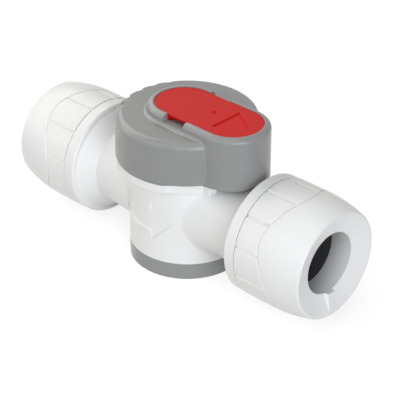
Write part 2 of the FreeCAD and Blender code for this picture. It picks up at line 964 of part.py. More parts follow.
# Colour insert with an engraved triangle, a small dimple and a slot under each pry notch.
insert_top = dim("insert_floor") + dim("insert_thickness")
insert_plate = obround(
    "insert_plate",
    dim("pod_rear"),
    dim("pod_front"),
    dim("insert_radius"),
    dim("insert_floor"),
    insert_top,
)
triangle = prism(
    "insert_triangle",
    "XY_Plane",
    insert_top - dim("triangle_depth"),
    [
        (dim("triangle_base"), -dim("triangle_half")),
        (dim("triangle_base") + dim("triangle_length"), ZERO),
        (dim("triangle_base"), dim("triangle_half")),
    ],
    dim("cut_margin"),
)
dimple_wide = dim("dimple_radius") * dim("dimple_radius") / dim("dimple_depth")
dimple_curve = (dimple_wide + dim("dimple_depth")) / TWO
dimple = doc.addObject("Part::Sphere", "insert_dimple")
bind(dimple, "Radius", dimple_curve)
move(dimple, dim("dimple_x"), dim("dimple_y"), insert_top + dimple_curve - dim("dimple_depth"))
pry_slots = []
for place, side in (("near", -ONE), ("far", ONE)):
    inner = side * dim("pry_slot_inner")
    outer = side * dim("pod_radius")
    pry_slots.append(
        block(
            "pry_slot_" + place,
            dim("pry_notch_start"),
            notch_end,
            inner if side is ONE else outer,
            outer if side is ONE else inner,
            dim("insert_floor") - dim("cut_margin"),
            insert_top - dim("pry_lip"),
        )
    )
insert = cut("colour_insert", insert_plate, fuse("insert_cuts", [triangle, dimple] + pry_slots))
lift(insert, "colour_insert")

# Screw and washer that hold the handle on the stem.
washer_top = dim("screw_seat") + dim("washer_thickness")
head_top = washer_top + dim("screw_head_height")
screw_solid = turned(
    "screw_solid",
    [
        (ZERO, dim("screw_shank_bottom")),
        (dim("screw_shank_radius"), dim("screw_shank_bottom")),
        (dim("screw_shank_radius"), washer_top),
        (dim("screw_head_radius"), washer_top),
        (dim("screw_head_radius"), head_top),
        (ZERO, head_top),
    ],
    "V_Axis",
)
slot_half = dim("screw_slot_width") / TWO
slot_reach = dim("screw_slot_length") / TWO
slot_long = block(
    "screw_slot_long",
    -slot_reach,
    slot_reach,
    -slot_half,
    slot_half,
    head_top - dim("screw_slot_depth"),
    head_top + dim("cut_margin"),
)
slot_cross = block(
    "screw_slot_cross",
    -slot_half,
    slot_half,
    -slot_reach,
    slot_reach,
    head_top - dim("screw_slot_depth"),
    head_top + dim("cut_margin"),
)
screw = cut("handle_screw", screw_solid, fuse("screw_slots", [slot_long, slot_cross]))
lift(screw, "handle_screw")
washer_disc = upright("washer_disc", dim("washer_radius"), dim("screw_seat"), washer_top)
washer_hole = upright(
    "washer_hole",
    dim("screw_hole_radius"),
    dim("screw_seat") - dim("cut_margin"),
    washer_top + dim("cut_margin"),
)
lift(cut("screw_washer", washer_disc, washer_hole), "screw_washer")


# Screw cap drawn for the +X end: domed shell, dished face and a face lug.
dome_start = cap_start + dim("cap_straight")
dome_end = dome_start + dim("cap_dome_length")
rim = dome_end + dim("cap_rim_length")
rim_radius = dim("cap_radius") - dim("cap_dome_drop") - dim("cap_rim_drop")
thread_radius = dim("spigot_radius") + dim("thread_clearance")
mouth = rim - dim("cap_dish_depth")
cap_blank = turned(
    "cap_blank",
    [
        (cap_start, thread_radius),
        (cap_start, dim("cap_radius") - dim("cap_edge")),
        (cap_start + dim("cap_edge"), dim("cap_radius")),
        (dome_start, dim("cap_radius")),
        (dome_end, dim("cap_radius") - dim("cap_dome_drop")),
        (rim, rim_radius),
        (rim, rim_radius - dim("cap_rim_flat")),
        (mouth, entry_radius),
        (cap_roof, entry_radius),
        (cap_roof, thread_radius),
    ],
    "H_Axis",
    {3: (dim("cap_dome_radius"), -1), 4: (dim("cap_rim_radius"), -1)},
)
lug_sketch = body_sketch(cap_blank, "cap_lug_outline", "XZ_Plane")
bind(lug_sketch, "AttachmentOffset.Base.z", -dim("lug_half_width"))
outline(
    lug_sketch,
    [
        (rim - dim("lug_depth"), -dim("lug_outer")),
        (rim - dim("lug_outer_drop"), -dim("lug_outer")),
        (rim - dim("lug_inner_drop"), -dim("lug_inner")),
        (rim - dim("lug_depth"), -dim("lug_inner")),
    ],
)
lug = cap_blank.newObject("PartDesign::Pad", "cap_lug")
lug.Profile = lug_sketch
bind(lug, "Length", TWO * dim("lug_half_width"))
doc.recompute()

# Lines that part the cap's grip panels: a wavy one in front of them and a straight one between
# each two. Three lobes of four panels go round the cap: long, falling, short and rising.
LOBES = range(3)
line_floor = dim("cap_radius") - dim("panel_line_depth")


def front_line(name, turn, near, far, arc):
    """Stretch of the wavy line in front of one panel, at a turn about the pipe axis."""
    body = doc.addObject("PartDesign::Body", name)
    sketch = body_sketch(body, name + "_outline", "XY_Plane")
    sketch.AttachmentOffset = FreeCAD.Placement(FreeCAD.Vector(), FreeCAD.Rotation(X_AXIS, turn.number))
    bind(sketch, "AttachmentOffset.Rotation.Angle", turn)
    width = dim("panel_line_width")
    half = dim("panel_half_width")
    corners = [
        (cap_start + near, -half),
        (cap_start + near + width, -half),
        (cap_start + far + width, half),
        (cap_start + far, half),
    ]
    arcs = {}
    if arc != 0:
        arcs = {1: (dim("panel_arc"), arc), 3: (dim("panel_arc"), -arc)}
    outline(sketch, corners, arcs)
    pad = body.newObject("PartDesign::Pad", name + "_pad")
    pad.Profile = sketch
    bind(pad, "Length", dim("cap_radius") + dim("cut_margin"))
    doc.recompute()
    return body


def side_line(name, turn, length):
    """Straight line between two panels, at a turn about the pipe axis, just past the wavy line."""
    half = dim("panel_line_width") / TWO
    bar = block(
        name,
        cap_start - dim("cut_margin"),
        cap_start + length + dim("panel_line_width") + dim("panel_line_overrun"),
        -half,
        half,
        ZERO,
        dim("cap_radius") + dim("cut_margin"),
    )
    bar.Placement = FreeCAD.Placement(FreeCAD.Vector(), FreeCAD.Rotation(X_AXIS, turn.number))
    bind(bar, "Placement.Rotation.Angle", turn)
    move(bar, cap_start - dim("cut_margin"), -half * cosine(turn), -half * sine(turn))
    return bar


short = dim("panel_short")
long = dim("panel_long")
step = dim("panel_step")
cap_lines = []
for lobe in LOBES:
    turn = dim("lobe_step") * Size(float(lobe), "%d" % lobe)
    number = "_%d" % (lobe + 1)
    cap_lines.append(front_line("line_long" + number, turn, long, long, 1))
    cap_lines.append(front_line("line_fall" + number, turn + step, short, long, 0))
    cap_lines.append(front_line("line_short" + number, turn + TWO * step, short, short, -1))
    cap_lines.append(front_line("line_rise" + number, turn - step, long, short, 0))
    cap_lines.append(side_line("line_ahead" + number, turn + step / TWO, long))
    cap_lines.append(side_line("line_before" + number, turn - step / TWO, long))
    cap_lines.append(side_line("line_after" + number, turn + step + step / TWO, short))
    cap_lines.append(side_line("line_behind" + number, turn - step - step / TWO, short))
line_core = lengthwise("line_core", line_floor, cap_start - TWO * dim("cut_margin"), rim)
panel_lines = cut("panel_lines", fuse("panel_line_blocks", cap_lines), line_core)

# The left cap faces the other way, and its panels are turned by cap_phase about the pipe:
# together that is one half turn about an axis tilted by half of the phase.
lift(cut("end_cap_right", cap_blank, panel_lines), "end_cap_right")
left_cap = cut("end_cap_left", cap_blank, panel_lines)
half_phase = dim("cap_phase") / TWO
left_cap.Placement = FreeCAD.Placement(FreeCAD.Vector(), FreeCAD.Rotation(Z_AXIS, 180))
bind(left_cap, "Placement.Rotation.Axis.y", -sine(half_phase))
bind(left_cap, "Placement.Rotation.Axis.z", cosine(half_phase))
lift(left_cap, "end_cap_left")


# Bars across the toothed ring, each of which parts two pairs of teeth.
TOOTH_BARS = 4


def side_rings(side_name, side):
    """Pipe seal, spacer, toothed ring and wedge of one end, from the inside out."""
    seal_in = dim("seal_seat") + dim("pipe_seal_edge")
    seal_out = seal_end - dim("pipe_seal_edge")
    seal_hole = socket_radius + dim("pipe_seal_edge")
    rings = {
        "pipe_seal_": [
            (dim("seal_seat"), dim("chamber_radius")),
            (dim("seal_seat"), seal_hole),
            (seal_in, socket_radius),
            (seal_out, socket_radius),
            (seal_end, seal_hole),
            (seal_end, dim("chamber_radius")),
        ],
        "spacer_ring_": [
            (seal_end, dim("chamber_radius")),
            (seal_end, socket_radius),
            (seal_end + dim("spacer_flare"), socket_radius),
            (spacer_end, dim("tooth_root")),
            (spacer_end, dim("chamber_radius")),
        ],
        "grab_wedge_": [
            (grab_end, wedge_radius),
            (grab_end, dim("tooth_root")),
            (grab_end + dim("tooth_reach"), socket_radius),
            (wedge_end, socket_radius),
            (wedge_end, wedge_radius - dim("wedge_edge")),
            (wedge_end - dim("wedge_edge"), wedge_radius),
        ],
    }
    for stem, corners in rings.items():
        placed = [(side * x, r) for x, r in corners]
        lift(turned(stem + side_name, placed, "H_Axis"), stem + side_name)
    tooth_tip = grab_start - dim("tooth_reach")
    teeth = [
        (grab_end, wedge_radius),
        (grab_end, dim("tooth_root")),
        (tooth_tip + dim("grab_ring_thickness"), socket_radius),
        (tooth_tip, socket_radius),
        (grab_start, dim("tooth_root")),
        (grab_start, wedge_radius),
    ]
    placed = [(side * x, r) for x, r in teeth]
    washer = turned("grab_blank_" + side_name, placed, "H_Axis")
    bars = []
    slot = dim("tooth_slot") / TWO
    low = side * (tooth_tip - dim("cut_margin"))
    high = side * (grab_end + dim("cut_margin"))
    if side is not ONE:
        low, high = high, low
    for index in range(TOOTH_BARS):
        turn = half_turn * Size(float(index), "%d" % index) / Size(float(TOOTH_BARS), "%d" % TOOTH_BARS)
        bar = block(
            "tooth_bar_%s_%d" % (side_name, index + 1),
            low,
            high,
            -slot,
            slot,
            -dim("tooth_root"),
            dim("tooth_root"),
        )
        bar.Placement = FreeCAD.Placement(FreeCAD.Vector(), FreeCAD.Rotation(X_AXIS, turn.number))
        reach = dim("tooth_root")
        move(
            bar,
            low,
            reach * sine(turn) - slot * cosine(turn),
            -slot * sine(turn) - reach * cosine(turn),
        )
        bars.append(bar)
    ring = cut("grab_ring_" + side_name, washer, fuse("tooth_bars_" + side_name, bars))
    lift(ring, "grab_ring_" + side_name)


side_rings("right", ONE)
side_rings("left", -ONE)
doc.recompute()

for item in doc.Objects:
    if "Invalid" in item.State or "Error" in item.State:
        raise RuntimeError("failed object " + item.Name)
for item in finished:
    if item.Shape.isNull() or not item.Shape.isValid():
        raise RuntimeError("bad shape " + item.Label)
os.makedirs("parts", exist_ok=True)
for item in finished:
    item.Shape.exportStep("parts/%s.step" % item.Label)
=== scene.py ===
import json
import math

import bmesh
import bpy
from mathutils import Matrix, Vector


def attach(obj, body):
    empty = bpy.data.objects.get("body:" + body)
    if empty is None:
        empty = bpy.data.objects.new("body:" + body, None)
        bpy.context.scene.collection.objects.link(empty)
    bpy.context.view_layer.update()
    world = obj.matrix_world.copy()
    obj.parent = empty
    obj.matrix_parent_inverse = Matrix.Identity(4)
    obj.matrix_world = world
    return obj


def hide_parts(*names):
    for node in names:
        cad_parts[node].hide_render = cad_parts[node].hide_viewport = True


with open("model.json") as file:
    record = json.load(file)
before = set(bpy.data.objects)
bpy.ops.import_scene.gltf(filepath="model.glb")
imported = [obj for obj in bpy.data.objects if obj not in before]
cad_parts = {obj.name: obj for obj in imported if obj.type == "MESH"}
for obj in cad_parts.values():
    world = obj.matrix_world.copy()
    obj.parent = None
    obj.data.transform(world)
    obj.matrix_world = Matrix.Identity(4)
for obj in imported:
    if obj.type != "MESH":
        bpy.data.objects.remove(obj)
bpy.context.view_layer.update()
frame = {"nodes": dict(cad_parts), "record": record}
nodes = frame["nodes"]
scene = bpy.context.scene

# Units and the crossing of the pipe's and the stem's axes.
MM = 0.001
AXIS_HEIGHT = 0.0159
CROSSING = Vector((0.0, 0.0, AXIS_HEIGHT))

# Finishes: the scales of their noise, its range from dark to light, and texture depths in metres.
DRIFT_SCALE = 45.0
GLOSS_SCALE = 160.0
WAVE_SCALE = 60.0
WAVE_SHARE = 0.4
NOISE_LOW = 0.3
NOISE_HIGH = 0.7
MOULD_DEPTH = 0.0001
STEEL_SCALE = 900.0
STEEL_STRETCH = (1.0, 0.08, 1.0)
STEEL_DEPTH = 0.00005
STEEL_BUMP = 0.08


def new_material(name):
    """Material with its node tree and its main shader."""
    material = bpy.data.materials.new(name)
    material.use_nodes = True
    tree = material.node_tree
    shader = tree.nodes["Principled BSDF"]
    return material, tree, shader


def noise(tree, scale, detail=3.0, roughness=0.5, stretch=None):
    """Noise in object coordinates, in metres."""
    place = tree.nodes.new("ShaderNodeTexCoord")
    texture = tree.nodes.new("ShaderNodeTexNoise")
    texture.inputs["Scale"].default_value = scale
    texture.inputs["Detail"].default_value = detail
    texture.inputs["Roughness"].default_value = roughness
    if stretch is None:
        tree.links.new(place.outputs["Object"], texture.inputs["Vector"])
    else:
        mapping = tree.nodes.new("ShaderNodeMapping")
        mapping.inputs["Scale"].default_value = stretch
        tree.links.new(place.outputs["Object"], mapping.inputs["Vector"])
        tree.links.new(mapping.outputs["Vector"], texture.inputs["Vector"])
    return texture.outputs["Fac"]


def ramp(tree, source, dark, light):
    """Colour that goes from dark to light with a noise."""
    node = tree.nodes.new("ShaderNodeValToRGB")
    stops = ((NOISE_LOW, dark), (NOISE_HIGH, light))
    for element, (position, colour) in zip(node.color_ramp.elements, stops):
        element.position = position
        element.color = (*colour, 1.0)
    tree.links.new(source, node.inputs["Fac"])
    return node.outputs["Color"]


def spread(tree, source, low, high):
    """Value that goes from low to high as its source goes from 0 to 1."""
    node = tree.nodes.new("ShaderNodeMapRange")
    node.inputs["To Min"].default_value = low
    node.inputs["To Max"].default_value = high
    tree.links.new(source, node.inputs["Value"])
    return node.outputs["Result"]


def bump(tree, shader, sources, distance):
    """Chain of bump nodes from (height, strength) pairs."""
    last = None
    for height, strength in sources:
        node = tree.nodes.new("ShaderNodeBump")
        node.inputs["Strength"].default_value = strength
        node.inputs["Distance"].default_value = distance
        tree.links.new(height, node.inputs["Height"])
        if last is not None:
            tree.links.new(last, node.inputs["Normal"])
        last = node.outputs["Normal"]
    tree.links.new(last, shader.inputs["Normal"])


def moulded(name, dark, light, roughness, grain, strength, specular=0.5):
    """Moulded plastic: faint colour drift, uneven gloss and a fine texture."""
    material, tree, shader = new_material(name)
    drift = noise(tree, DRIFT_SCALE, detail=2.0)
    tree.links.new(ramp(tree, drift, dark, light), shader.inputs["Base Color"])
    gloss = noise(tree, GLOSS_SCALE)
    tree.links.new(spread(tree, gloss, *roughness), shader.inputs["Roughness"])
    fine = noise(tree, grain, detail=2.0)
    wave = noise(tree, WAVE_SCALE, detail=2.0)
    bump(tree, shader, [(fine, strength), (wave, strength * WAVE_SHARE)], MOULD_DEPTH)
    shader.inputs["Specular IOR Level"].default_value = specular
    return material


def brushed(name, dark, light, roughness):
    """Stamped stainless steel with a drawn grain."""
    material, tree, shader = new_material(name)
    grain = noise(tree, STEEL_SCALE, detail=4.0, roughness=0.6, stretch=STEEL_STRETCH)
    tree.links.new(ramp(tree, grain, dark, light), shader.inputs["Base Color"])
    tree.links.new(spread(tree, grain, *roughness), shader.inputs["Roughness"])
    shader.inputs["Metallic"].default_value = 1.0
    bump(tree, shader, [(grain, STEEL_BUMP)], STEEL_DEPTH)
    return material


white = moulded(
    "white_plastic",
    dark=(0.885, 0.885, 0.88),
    light=(0.91, 0.91, 0.905),
    roughness=(0.28, 0.40),
    grain=2600.0,
    strength=0.05,
)
grey = moulded(
    "grey_plastic",
    dark=(0.275, 0.278, 0.274),
    light=(0.305, 0.308, 0.304),
    roughness=(0.20, 0.29),
    grain=3200.0,
    strength=0.10,
)
red = moulded(
    "red_plastic",
    dark=(0.66, 0.012, 0.010),
    light=(0.72, 0.020, 0.016),
    roughness=(0.30, 0.40),
    grain=3000.0,
    strength=0.08,
    specular=0.1,
)
pale = moulded(
    "pale_plastic",
    dark=(0.66, 0.65, 0.60),
    light=(0.72, 0.71, 0.66),
    roughness=(0.40, 0.55),
    grain=2600.0,
    strength=0.08,
)
# Painted shade: the grab wedge deep in the bore is made black so that the bore reads dark, though that
# darkness comes from little light getting in.
bore_shade_black = moulded(
    "black_plastic",
    dark=(0.030, 0.030, 0.032),
    light=(0.042, 0.042, 0.044),
    roughness=(0.40, 0.55),
    grain=2800.0,
    strength=0.10,
)
rubber = moulded(
    "black_rubber",
    dark=(0.012, 0.012, 0.012),
    light=(0.020, 0.020, 0.020),
    roughness=(0.60, 0.75),
    grain=3400.0,
    strength=0.15,
    specular=0.3,
)
steel = brushed(
    "steel",
    dark=(0.52, 0.52, 0.53),
    light=(0.62, 0.62, 0.63),
    roughness=(0.25, 0.42),
)

FINISH = {
    "white_plastic": white,
    "grey_plastic": grey,
    "red_plastic": red,
    "pale_plastic": pale,
    "black_plastic": bore_shade_black,
    "black_rubber": rubber,
    "steel": steel,
}
for entry in frame["record"]["subparts"]:
    piece = nodes[entry["node"]]
    piece.data.materials.clear()
    piece.data.materials.append(FINISH[entry["material_slot"]])


# Helpers for the new meshes. Their sizes are in millimetres from the axes' crossing.
def smooth(low, high, value):
    """Smooth rise from 0 at low to 1 at high."""
    part = min(max((value - low) / (high - low), 0.0), 1.0)
    return part * part * (3.0 - 2.0 * part)


def placed(point):
    """Place in the scene, in metres, of a point in millimetres from the crossing."""
    return Vector(point) * MM + CROSSING


def about_pipe(along, radius, turn):
    """Point at a turn in degrees about the pipe, from its top."""
    angle = math.radians(turn)
    return Vector((along, -radius * math.sin(angle), radius * math.cos(angle)))


def both_ways(steps):
    """Distances on both sides of a line's middle."""
    return [-step for step in reversed(steps)] + [0.0] + list(steps)


def white_object(name, points, faces):
    """Smoothly shaded object of white plastic."""
    mesh = bpy.data.meshes.new(name)
    mesh.from_pydata(points, [], faces)
    mesh.polygons.foreach_set("use_smooth", [True] * len(mesh.polygons))
    mesh.materials.append(white)
    mesh.update()
    item = bpy.data.objects.new(name, mesh)
    scene.collection.objects.link(item)
    return item


def white_tube(name, columns):
    """Closed tube of columns of points, where each column is a loop through the wall."""
    rows = len(columns[0])
    points = [point for column in columns for point in column]
    faces = []
    for index in range(len(columns)):
        here = index * rows
        beside = (index + 1) % len(columns) * rows
        for row in range(rows):
            after = (row + 1) % rows
            faces.append((here + row, beside + row, beside + after, here + after))
    return white_object(name, points, faces)


# Valve body: its solid's surface with the arrow sunk, the rings' faces moved out and slimmer spigots.
BARREL_RADIUS = 14.25
ARROW_RAISED = 14.65
ARROW_FLOOR = 13.9
ARROW_DEEP = 13.8
ARROW_SLOPE = 0.08
ARROW_MIDDLE = -0.9
ARROW_TAIL = -9.9
ARROW_RUN_OUT = -8.0
ARROW_NECK = 1.5
ARROW_TIP = 7.15
ARROW_TAIL_HALF = 2.8
ARROW_HEAD_HALF = 5.4
RING_END = 28.15
RING_MOVE = 0.5
SPIGOT_RADIUS = 12.5
SPIGOT_CORE = 11.8
NEAR = 0.02
JOINED = 0.001
SHARP = math.radians(30.0)


def arrow_floor(x, z):
    """Where a corner of the arrow's outline goes on its floor and how far out, or None off the arrow."""
    across = abs(z - ARROW_MIDDLE)
    side = math.copysign(1.0, z - ARROW_MIDDLE)
    head_slope = ARROW_HEAD_HALF / (ARROW_TIP - ARROW_NECK)
    reach = head_slope * (ARROW_TIP - x)
    in_tail = ARROW_TAIL - NEAR < x < ARROW_NECK + NEAR and across < ARROW_TAIL_HALF + NEAR
    in_head = ARROW_NECK - NEAR < x < ARROW_TIP + NEAR and across < reach + NEAR
    if not in_tail and not in_head:
        return None
    at_neck = abs(x - ARROW_NECK) < NEAR
    radius = ARROW_FLOOR
    if x < ARROW_RUN_OUT:
        radius = BARREL_RADIUS
    elif not in_tail and not at_neck:
        radius = ARROW_DEEP
    if in_tail and across > ARROW_TAIL_HALF - NEAR:
        across -= ARROW_SLOPE
    if at_neck and across > ARROW_HEAD_HALF - NEAR:
        across -= ARROW_SLOPE * head_slope
    if at_neck:
        x += ARROW_SLOPE
    return x, ARROW_MIDDLE + side * across, radius


def move_corner(corner):
    """Moves a corner of the solid's surface to its place on the skin, if that is another."""
    x = corner.co.x / MM
    y = corner.co.y / MM
    z = (corner.co.z - AXIS_HEIGHT) / MM
    from_pipe = math.hypot(y, z)
    raised = y < 0.0 and abs(math.hypot(x, y) - ARROW_RAISED) < NEAR
    sunk = arrow_floor(x, z) if raised else None
    if sunk is not None:
        x, z, radius = sunk
        corner.co = placed((x, -math.sqrt(radius ** 2 - x ** 2), z))
    if abs(abs(x) - RING_END) < NEAR and from_pipe > SPIGOT_RADIUS - NEAR:
        corner.co.x += math.copysign(RING_MOVE * MM, x)
    if abs(x) > RING_END - NEAR and abs(from_pipe - SPIGOT_RADIUS) < NEAR:
        corner.co.y *= SPIGOT_CORE / from_pipe
        corner.co.z = AXIS_HEIGHT + (corner.co.z - AXIS_HEIGHT) * SPIGOT_CORE / from_pipe


def body_skin():
    """Skin of the valve body, with the corners of its solid's surface joined."""
    work = bmesh.new()
    work.from_mesh(nodes["valve_body"].data)
    bmesh.ops.remove_doubles(work, verts=work.verts, dist=JOINED * MM)
    for corner in work.verts:
        move_corner(corner)
    work.verts.index_update()
    points = [corner.co.copy() for corner in work.verts]
    faces = [[corner.index for corner in face.verts] for face in work.faces]
    work.free()
    skin = white_object("body_skin", points, faces)
    skin.data.set_sharp_from_angle(angle=SHARP)
    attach(skin, "valve")
    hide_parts("valve_body")


# Flange under the handle: most of a ring, then a flat and the stop's end. Angles are in degrees from +X.
FLANGE_RADIUS = 17.2
FLANGE_INSIDE = 13.6
FLANGE_LOW = 9.4
FLANGE_TOP = 11.45
FLANGE_FIRST = 85.4
FLANGE_LAST = 294.5
FLANGE_STEPS = 105
FLANGE_SOFT = 0.22
FLANGE_SOFT_STEPS = 3
FLAT_START = (7.16, -15.4)
FLAT_END = (13.92, -9.04)
STOP_FRONT = (16.0, -9.04)
STOP_REAR = (16.0, -6.5)


def flange():
    """Closed flange, four points to each place along its outline."""
    outer = []
    for index in range(FLANGE_STEPS + 1):
        turn = math.radians(FLANGE_FIRST + (FLANGE_LAST - FLANGE_FIRST) * index / FLANGE_STEPS)
        outer.append((FLANGE_RADIUS * math.cos(turn), FLANGE_RADIUS * math.sin(turn)))
    outer += [FLAT_START, FLAT_END, STOP_FRONT, STOP_REAR]
    points = []
    for x, y in outer:
        share = FLANGE_INSIDE / math.hypot(x, y)
        points += [placed((x, y, FLANGE_LOW)), placed((x, y, FLANGE_TOP))]
        points += [placed((x * share, y * share, FLANGE_TOP)), placed((x * share, y * share, FLANGE_LOW))]
    last = 4 * (len(outer) - 1)
    faces = [(0, 1, 2, 3), (last + 3, last + 2, last + 1, last)]
    for here in range(0, last, 4):
        for side in range(4):
            after = (side + 1) % 4
            faces.append((here + side, here + 4 + side, here + 4 + after, here + after))
    piece = white_object("collar_flange", points, faces)
    soft = piece.modifiers.new("soft", "BEVEL")
    soft.width = FLANGE_SOFT * MM
    soft.segments = FLANGE_SOFT_STEPS
    soft.limit_method = "ANGLE"
    soft.angle_limit = SHARP
    soft.harden_normals = True
    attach(piece, "valve")


# Screw threads round the spigots, right-handed. The flank is in shares of the pitch from the crest.
THREAD_START = 28.6
THREAD_END = 38.5
THREAD_PITCH = 2.5
THREAD_CREST = 12.48
THREAD_ROOT = 11.95
THREAD_INSIDE = 11.6
THREAD_RUN = 1.0
FLANK_TOP = 0.18
FLANK_FOOT = 0.32
THREAD_ROWS = 66
THREAD_COLUMNS = 120


def thread_radius(along, turn):
    """Radius of the screw thread at a place along the pipe and a turn about it, in degrees."""
    phase = abs(((along - THREAD_START) / THREAD_PITCH - turn / 360.0) % 1.0 - 0.5)
    ends = smooth(0.0, THREAD_RUN, along - THREAD_START) * smooth(0.0, THREAD_RUN, THREAD_END - along)
    return THREAD_ROOT + (THREAD_CREST - THREAD_ROOT) * ends * (1.0 - smooth(FLANK_TOP, FLANK_FOOT, phase))


def thread(name, turn_about):
    """Closed sleeve with the thread of one spigot."""
    columns = []
    for column in range(THREAD_COLUMNS):
        turn = 360.0 * column / THREAD_COLUMNS
        rows = [(THREAD_START, THREAD_INSIDE)]
        for row in range(THREAD_ROWS + 1):
            along = THREAD_START + (THREAD_END - THREAD_START) * row / THREAD_ROWS
            rows.append((along, thread_radius(along, turn)))
        rows.append((THREAD_END, THREAD_INSIDE))
        columns.append([placed(turn_about @ about_pipe(along, radius, turn)) for along, radius in rows])
    piece = white_tube(name, columns)
    piece.data.set_sharp_from_angle(angle=SHARP)
    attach(piece, "valve")


# The left thread is the right one after half a turn about the stem.
no_turn = Matrix.Identity(3)
end_for_end = Matrix.Diagonal((-1.0, -1.0, 1.0))
body_skin()
flange()
thread("thread_right", no_turn)
thread("thread_left", end_for_end)

# Screw caps: lines between grip panels, a domed nose, a dished face and a lug. Turns are in degrees.
CAP_START = 28.9
CAP_EDGE = 0.1
CAP_STRAIGHT = 36.4
CAP_DOME = 46.1
CAP_RIM = 46.85
CAP_MOUTH = 45.1
CAP_ROOF = 39.05
CAP_RADIUS = 14.75
CAP_INSIDE = 12.58
DOME_RADIUS = 13.4
DOME_ARC = 35.0
RIM_RADIUS = 12.85
RIM_ARC = 0.75
RIM_INNER = 12.6
RIM_DROP = 0.06
BORE_RADIUS = 7.65
PANEL_START = 28.4
PANEL_HALF = 3.85
PANEL_SHORT = 6.95
PANEL_LONG = 9.55
PANEL_ARC = 12.0
PANEL_COUNT = 12
PANEL_STEP = 30.0
LOBE_PANELS = 4
LOBE_STEP = PANEL_STEP * LOBE_PANELS
LINE_WIDTH = 0.45
LINE_DEPTH = 0.42
LINE_FLOOR = 0.08
LINE_EDGE = 0.26
LINE_STEPS = both_ways((0.08, 0.12, 0.17, 0.22, 0.26, 0.32))
SIDE_DEPTH = 0.55
SIDE_FLOOR = 0.1
SIDE_EDGE = 0.36
SIDE_STEPS = both_ways((0.1, 0.16, 0.23, 0.3, 0.36, 0.44))
LUG_HALF = 1.3
LUG_OUTER = 12.3
LUG_INNER_DROP = 0.75
LUG_OUTER_DROP = 0.05
LUG_SOFT = 0.14

# Rounded edge of the bore's mouth: how far each point is beyond the mouth and outside the bore.
MOUTH_EDGE = ((0.06, 0.12), (0.02, 0.06), (-0.01, 0.02), (-0.06, 0.002))
BORE_LOOPS = (0.3, 1.2)
ROOF_BEVEL = 0.2
INSIDE_BEVEL = 0.1
SEAM_BEVEL = 0.3
SEAM_LOOPS = (0.95, 0.75)

# How many points the skin of a cap has. One panel carries the lug and has more.
LUG_PANEL = 5
LUG_COLUMNS = 90
PANEL_COLUMNS = 22
PANEL_ROWS = 8
DOME_ROWS = 30
RIM_ROWS = 8
DISH_ROWS = 34
EDGE_ROWS = 4


def arc_centre(start, end, radius):
    """Centre of the arc from start to end that bulges away from the pipe axis."""
    run = end[0] - start[0]
    fall = end[1] - start[1]
    chord = math.hypot(run, fall)
    reach = math.sqrt(max(radius * radius - chord * chord / 4.0, 0.0))
    return (
        (start[0] + end[0]) / 2.0 + fall / chord * reach,
        (start[1] + end[1]) / 2.0 - run / chord * reach,
    )


def arc_points(start, end, radius, count):
    """Points after start on the arc from start to end that bulges away from the pipe axis."""
    centre = arc_centre(start, end, radius)
    first = math.atan2(start[1] - centre[1], start[0] - centre[0])
    last = math.atan2(end[1] - centre[1], end[0] - centre[0])
    steps = [first + (last - first) * index / count for index in range(1, count + 1)]
    return [(centre[0] + radius * math.cos(turn), centre[1] + radius * math.sin(turn)) for turn in steps]


DOME_CENTRE = arc_centre((CAP_STRAIGHT, CAP_RADIUS), (CAP_DOME, DOME_RADIUS), DOME_ARC)


def outside(along):
    """Radius of the cap's turned outside, without its lines."""
    if along <= CAP_STRAIGHT:
        return CAP_RADIUS
    return DOME_CENTRE[1] + math.sqrt(DOME_ARC ** 2 - (along - DOME_CENTRE[0]) ** 2)


def wavy_line(turn):
    """Position of the middle of the wavy line in front of the panels."""
    within = turn % LOBE_STEP
    number = int((within + PANEL_STEP / 2.0) // PANEL_STEP) % LOBE_PANELS
    offset = (within - PANEL_STEP * number + LOBE_STEP / 2.0) % LOBE_STEP - LOBE_STEP / 2.0
    side = -CAP_RADIUS * math.sin(math.radians(offset))
    bow = math.sqrt(PANEL_ARC ** 2 - side ** 2) - math.sqrt(PANEL_ARC ** 2 - PANEL_HALF ** 2)
    share = (side / PANEL_HALF + 1.0) / 2.0
    fronts = (
        PANEL_LONG + bow,
        PANEL_SHORT + (PANEL_LONG - PANEL_SHORT) * share,
        PANEL_SHORT - bow,
        PANEL_LONG + (PANEL_SHORT - PANEL_LONG) * share,
    )
    return PANEL_START + fronts[number] + LINE_WIDTH / 2.0


def line_depth(distance):
    """Depth of the wavy line at a distance from its middle."""
    return LINE_DEPTH * (1.0 - smooth(LINE_FLOOR, LINE_EDGE, abs(distance)))


def side_depth(turn):
    """Depth of the straight line between two panels at one turn."""
    distance = CAP_RADIUS * math.radians(turn % PANEL_STEP - PANEL_STEP / 2.0)
    return SIDE_DEPTH * (1.0 - smooth(SIDE_FLOOR, SIDE_EDGE, abs(distance)))


def lug_rise(turn, radius):
    """How far the face lug stands out of the dish; its inner end is flush with the bore."""
    angle = math.radians(turn)
    if math.cos(angle) > 0.0:
        return 0.0
    edge = min(LUG_HALF - abs(radius * math.sin(angle)), LUG_OUTER - radius)
    dish = CAP_MOUTH + (radius - BORE_RADIUS) / (RIM_INNER - BORE_RADIUS) * (CAP_RIM - CAP_MOUTH)
    share = (radius - BORE_RADIUS) / (LUG_OUTER - BORE_RADIUS)
    top = CAP_RIM - LUG_INNER_DROP + (LUG_INNER_DROP - LUG_OUTER_DROP) * share
    return smooth(0.0, LUG_SOFT, edge) * max(top - dish, 0.0)


def cap_turns():
    """Turns of the skin's points, close together at the straight lines and at the lug."""
    turns = []
    line_half = math.degrees(SIDE_STEPS[-1] / CAP_RADIUS)
    span = PANEL_STEP - 2.0 * line_half
    for panel in range(PANEL_COUNT):
        middle = PANEL_STEP * (panel + 0.5)
        turns += [middle + math.degrees(step / CAP_RADIUS) for step in SIDE_STEPS]
        count = LUG_COLUMNS if panel == LUG_PANEL else PANEL_COLUMNS
        turns += [middle + line_half + span * index / count for index in range(1, count)]
    return turns


